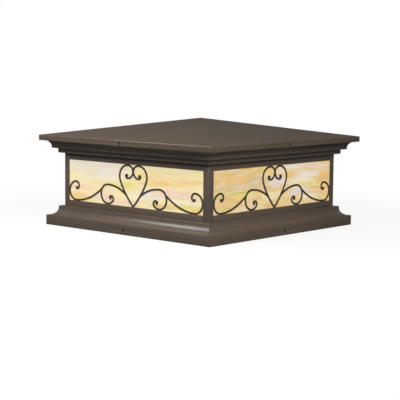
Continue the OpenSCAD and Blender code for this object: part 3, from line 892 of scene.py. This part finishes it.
class PIERLIGHT_OT_scrolls(bpy.types.Operator):
    """Bends and joins the bars of the scroll overlays"""

    bl_idname = "pier_light.scrolls"
    bl_label = "Scroll overlays"

    def execute(self, context):
        overlay = self.bar(*SCROLL_BARS[0], "overlay")
        for number, bar in enumerate(SCROLL_BARS[1:]):
            self.join(overlay, self.bar(*bar, f"bar_{number}"))
        self.trim_and_mirror(overlay)
        soften(overlay, sizes().edge_break, least=60)
        scroll = kept("scroll_coat", lambda: powder_coat("scroll_coat", tuple(colours().scroll), 0.44))
        for side, word in enumerate(SIDES):
            copy = turned_copy(overlay, f"scroll_{word}_overlay", side)
            stand_for(copy, ["scroll_" + word], scroll)
        bpy.data.objects.remove(overlay)
        return {"FINISHED"}

    def bar(self, start, heading, arcs, name):
        """Spins the bar's end edge through its arcs, thickens the strip, and welds the pea to its end."""
        width = sizes().bar_width
        clear()
        bpy.ops.mesh.primitive_plane_add(size=width)
        bar = named(name)
        at = Vector((start[0] * MM, 0, OPENING_Z0 + start[1] * MM))
        bar.data.transform(
            Matrix.Translation(at)
            @ Matrix.Rotation(-math.radians(heading), 4, "Y")
            @ Matrix.Rotation(math.pi / 2, 4, "X")
            @ Matrix.Translation((width / 2, 0, 0))
        )
        edit(bar)
        ahead = Vector((math.cos(math.radians(heading)), 0, math.sin(math.radians(heading))))
        pick("VERT", lambda v: (v.co - at).dot(ahead) > width / 2)
        bpy.ops.mesh.delete(type="VERT")
        bpy.ops.mesh.select_mode(type="EDGE")
        bpy.ops.mesh.select_all(action="SELECT")
        for radius, turn in arcs:
            side = math.copysign(1, turn)
            normal = Vector((-math.sin(math.radians(heading)), 0, math.cos(math.radians(heading))))
            centre = at + normal * radius * side * MM
            steps = max(4, round(abs(turn) / BEND_STEP))
            bpy.ops.mesh.spin(steps=steps, angle=math.radians(turn), center=centre, axis=(0, 1, 0))
            at = centre + Matrix.Rotation(-math.radians(turn), 3, "Y") @ (at - centre)
            heading += turn
        bpy.ops.mesh.select_all(action="SELECT")
        bpy.ops.mesh.remove_doubles(threshold=0.005 * MM)
        face_out(lambda f: -f.normal.y)
        bpy.ops.object.mode_set(mode="OBJECT")
        thicken(bar)
        bar.data.transform(Matrix.Translation((0, -BODY, 0)))
        normal = Vector((-math.sin(math.radians(heading)), 0, math.cos(math.radians(heading))))
        clear()
        bpy.ops.mesh.primitive_cylinder_add(vertices=64, radius=PEA * MM, depth=SHEET)
        pea = named("pea")
        centre = at + normal * math.copysign(1, arcs[-1][1]) * (PEA * MM - width / 2)
        place = Matrix.Translation(centre + Vector((0, SHEET / 2 - BODY, 0)))
        pea.data.transform(place @ Matrix.Rotation(math.pi / 2, 4, "X"))
        self.join(bar, pea)
        return bar

    def join(self, piece, other):
        modify(piece, "BOOLEAN", operation="UNION", solver="EXACT", object=other)
        bpy.data.objects.remove(other)

    def trim_and_mirror(self, piece):
        """Trims the half overlay to its opening and mirrors it about the middle of the panel."""
        edit(piece)
        cuts = (
            ((0, 0, OPENING_Z0), (0, 0, -1), True),
            ((0, 0, OPENING_Z1), (0, 0, 1), True),
            ((OPENING, 0, 0), (1, 0, 0), True),
            ((0, 0, 0), (-1, 0, 0), False),
        )
        for point, normal, fill in cuts:
            bpy.ops.mesh.select_all(action="SELECT")
            bpy.ops.mesh.bisect(
                plane_co=point, plane_no=normal, clear_outer=True, use_fill=fill, threshold=ON_PLANE
            )
        bpy.ops.object.mode_set(mode="OBJECT")
        modify(piece, "MIRROR", use_axis=(True, False, False), use_mirror_merge=True, merge_threshold=MERGE)


class PIERLIGHT_OT_terminals(bpy.types.Operator):
    """Moulds the terminal block: a low body with a well over each screw, and barriers between its poles"""

    bl_idname = "pier_light.terminals"
    bl_label = "Terminal block"

    def execute(self, context):
        low, high = Vector(node_foot("terminal_block")), Vector(node_top("terminal_block"))
        middle, size = (low + high) / 2, high - low
        rise = Vector((0, 0, BARRIER_RISE))
        block = self.slab("terminals", middle - rise / 2, size - rise)
        top = high.z - BARRIER_RISE
        pitch = (size.y - BARRIER_W) / POLES
        for pole in range(POLES):
            y = low.y + BARRIER_W / 2 + pitch * (pole + 0.5)
            for across in (-0.25, 0.25):
                drill(block, TERMINAL_WELL, Vector((middle.x + across * size.x, y, top)), (0, 0, 1))
        for number in range(POLES + 1):
            y = low.y + BARRIER_W / 2 + pitch * number
            barrier_size = Vector((size.x, BARRIER_W, size.z))
            barrier = self.slab("barrier", Vector((middle.x, y, middle.z)), barrier_size)
            modify(block, "BOOLEAN", operation="UNION", solver="EXACT", object=barrier)
            bpy.data.objects.remove(barrier)
        soften(block, BLOCK_EDGE)
        stand_for(block, ["terminal_block"], porcelain())
        return {"FINISHED"}

    def slab(self, name, middle, size):
        """A plain block of a size about a middle, to be cut and joined."""
        clear()
        bpy.ops.mesh.primitive_cube_add(size=1)
        piece = named(name)
        piece.data.transform(Matrix.Translation(middle) @ Matrix.Diagonal((*size, 1)))
        return piece


class PIERLIGHT_OT_inside(bpy.types.Operator):
    """Gives the pieces inside the light, and the screws and bracket, their finishes"""

    bl_idname = "pier_light.inside"
    bl_label = "Inside pieces"

    def execute(self, context):
        zinc = bare_metal("zinc_plate", linear(196, 198, 200))
        rubber = moulded("rubber", linear(38, 37, 36), 0.7)
        lamps = range(1, 5)
        finishes = {
            zinc: (
                "upper_glass_clips", "lower_glass_clips", "clip_screws",
                "lamp_pan", "pan_screws", "lampholder_screws",
            ),
            bare_metal("galvanised", linear(178, 182, 186), roughness=0.45, spangle=0.5): ("pier_bracket",),
            moulded("black_oxide", linear(34, 31, 29), 0.4): (
                "roof_screws", "skirt_screws", "roof_weld_nuts", "skirt_weld_nuts",
            ),
            rubber: ("roof_gasket", "wire_grommet"),
            porcelain(): ("lampholders",),
            bare_metal("lamp_brass", linear(214, 186, 120), roughness=0.3): [f"lamp_{n}_cap" for n in lamps],
            moulded("frosted_glass", linear(244, 243, 238), 0.3, 200.0): [f"lamp_{n}_globe" for n in lamps],
            moulded("black_lead", linear(30, 30, 31), 0.4): ("line_leads",),
            moulded("white_lead", linear(226, 225, 220), 0.4): ("neutral_leads",),
            moulded("green_lead", linear(40, 110, 56), 0.4): ("earth_lead",),
            bare_metal("green_screw_plate", linear(60, 140, 80)): ("earth_screw",),
            moulded("red_connector", linear(186, 54, 40), 0.4): ("wire_connectors",),
        }
        for material, nodes in finishes.items():
            for node in nodes:
                dress(node, material)
        return {"FINISHED"}


def towards(azimuth, elevation):
    """The direction of an azimuth, counted from the front towards the right, and an elevation."""
    level = math.cos(elevation)
    return Vector((math.sin(azimuth) * level, -math.cos(azimuth) * level, math.sin(elevation)))


class PIERLIGHT_OT_stage(bpy.types.Operator):
    """Lays the floor, and sets up the soft lights and the camera"""

    bl_idname = "pier_light.stage"
    bl_label = "Stage"

    def execute(self, context):
        self.floor()
        self.world()
        for name, setup in SOFTBOXES.items():
            self.light(name, *setup)
        self.camera()
        context.scene.view_settings.view_transform = "Standard"
        return {"FINISHED"}

    def floor(self):
        """Pale paper just under the object, which keeps its shadow and fades to white away from it."""
        clear()
        bpy.ops.mesh.primitive_plane_add(size=40, location=(0, 0, -0.2 * MM))
        floor = named("floor")
        bpy.ops.object.transform_apply(location=True)
        finish = Finish("floor_paper", Roughness=0.9, Specular_IOR_Level=0.1)
        seen = finish.node("ShaderNodeLightPath", out="Is Camera Ray")
        paper = finish.noise(finish.place, 40.0, 3.0)
        tone = tuple(colours().floor)
        pale = finish.blend(paper * 0.1, tone, shade(tone, 0.97))
        finish.set(Base_Color=finish.blend(seen, FLOOR_UNSEEN, pale))
        tree = finish.tree
        white = tree.nodes.new("ShaderNodeEmission")
        mix = tree.nodes.new("ShaderNodeMixShader")
        away = finish.vector("LENGTH", finish.place, out=1)
        finish._join(mix.inputs[0], seen * (away.steps(0.5, 1.3) * 0.14 + 0.86))
        tree.links.new(finish.shader.outputs[0], mix.inputs[1])
        tree.links.new(white.outputs[0], mix.inputs[2])
        tree.links.new(mix.outputs[0], finish.output.inputs["Surface"])
        floor.data.materials.append(finish.material)

    def world(self):
        """A dim, even room for the reflections, and white behind the object for the camera."""
        world = bpy.data.worlds.new("studio")
        bpy.context.scene.world = world
        world.use_nodes = True
        tree = world.node_tree
        tree.nodes.clear()
        output = tree.nodes.new("ShaderNodeOutputWorld")
        room, white = tree.nodes.new("ShaderNodeBackground"), tree.nodes.new("ShaderNodeBackground")
        room.inputs[0].default_value, room.inputs[1].default_value = (1.0, 0.99, 0.97, 1), 0.1
        white.inputs[0].default_value = (1, 1, 1, 1)
        mix, path = tree.nodes.new("ShaderNodeMixShader"), tree.nodes.new("ShaderNodeLightPath")
        tree.links.new(path.outputs["Is Camera Ray"], mix.inputs[0])
        tree.links.new(room.outputs[0], mix.inputs[1])
        tree.links.new(white.outputs[0], mix.inputs[2])
        tree.links.new(mix.outputs[0], output.inputs[0])

    def light(self, name, azimuth, elevation, distance, size, power):
        """Adds a square softbox that faces the middle of the object. The camera does not see it."""
        aim = towards(math.radians(azimuth), math.radians(elevation))
        middle = Vector((0, 0, PEAK_Z / 2))
        data = bpy.data.lights.new(name, "AREA")
        data.shape, data.size, data.energy = "SQUARE", size, power
        lamp = bpy.data.objects.new(name, data)
        bpy.context.scene.collection.objects.link(lamp)
        lamp.location = middle + aim * distance
        lamp.rotation_euler = (-aim).to_track_quat("-Z", "Y").to_euler()
        lamp.visible_camera = False

    def camera(self):
        """The photograph's viewpoint: angles in degrees, distances in half widths of the skirt."""
        azimuth, elevation, roll = (math.radians(a) for a in (41.662, 6.477, 0.53))
        unit, distance, across, up_by = BASE_OUTLINE[-1][0] * MM, 11.332, 0.001, 0.225
        back = towards(azimuth, elevation)
        right = Vector((math.cos(azimuth), math.sin(azimuth), 0))
        up = back.cross(right)
        place = (back * distance + right * across + up * up_by) * unit
        right, up = (
            math.cos(roll) * right + math.sin(roll) * up,
            math.cos(roll) * up - math.sin(roll) * right,
        )
        camera = bpy.data.objects.new("camera", bpy.data.cameras.new("camera"))
        bpy.context.scene.collection.objects.link(camera)
        camera.data.lens, camera.data.sensor_width = 110.01, 36
        rows = [[right[i], up[i], back[i], place[i]] for i in range(3)]
        camera.matrix_world = Matrix(rows + [[0, 0, 0, 1]])
        bpy.context.scene.camera = camera


class PIERLIGHT_PT_panel(bpy.types.Panel):
    """Lists the pieces of the light and their sizes and colours"""

    bl_idname = "PIERLIGHT_PT_panel"
    bl_label = "Pier Mount Light"
    bl_space_type = "VIEW_3D"
    bl_region_type = "UI"
    bl_category = "Pier Light"

    def draw(self, context):
        for group in (sizes(), colours()):
            for name in group.__annotations__:
                self.layout.prop(group, name)
        for operator in OPERATORS:
            self.layout.operator(operator.bl_idname)


OPERATORS = (
    PIERLIGHT_OT_stage,
    PIERLIGHT_OT_roof,
    PIERLIGHT_OT_crown,
    PIERLIGHT_OT_base,
    PIERLIGHT_OT_frame,
    PIERLIGHT_OT_glass,
    PIERLIGHT_OT_scrolls,
    PIERLIGHT_OT_terminals,
    PIERLIGHT_OT_inside,
)
CLASSES = (PierLightSizes, PierLightColours, *OPERATORS, PIERLIGHT_PT_panel)


def register():
    for cls in CLASSES:
        bpy.utils.register_class(cls)
    bpy.types.Scene.pier_light_sizes = bpy.props.PointerProperty(type=PierLightSizes)
    bpy.types.Scene.pier_light_colours = bpy.props.PointerProperty(type=PierLightColours)


def unregister():
    del bpy.types.Scene.pier_light_colours
    del bpy.types.Scene.pier_light_sizes
    for cls in reversed(CLASSES):
        bpy.utils.unregister_class(cls)


def main():
    register()
    for operator in OPERATORS:
        group, name = operator.bl_idname.split(".")
        getattr(getattr(bpy.ops, group), name)()
    clear()


if __name__ == "__main__":
    main()
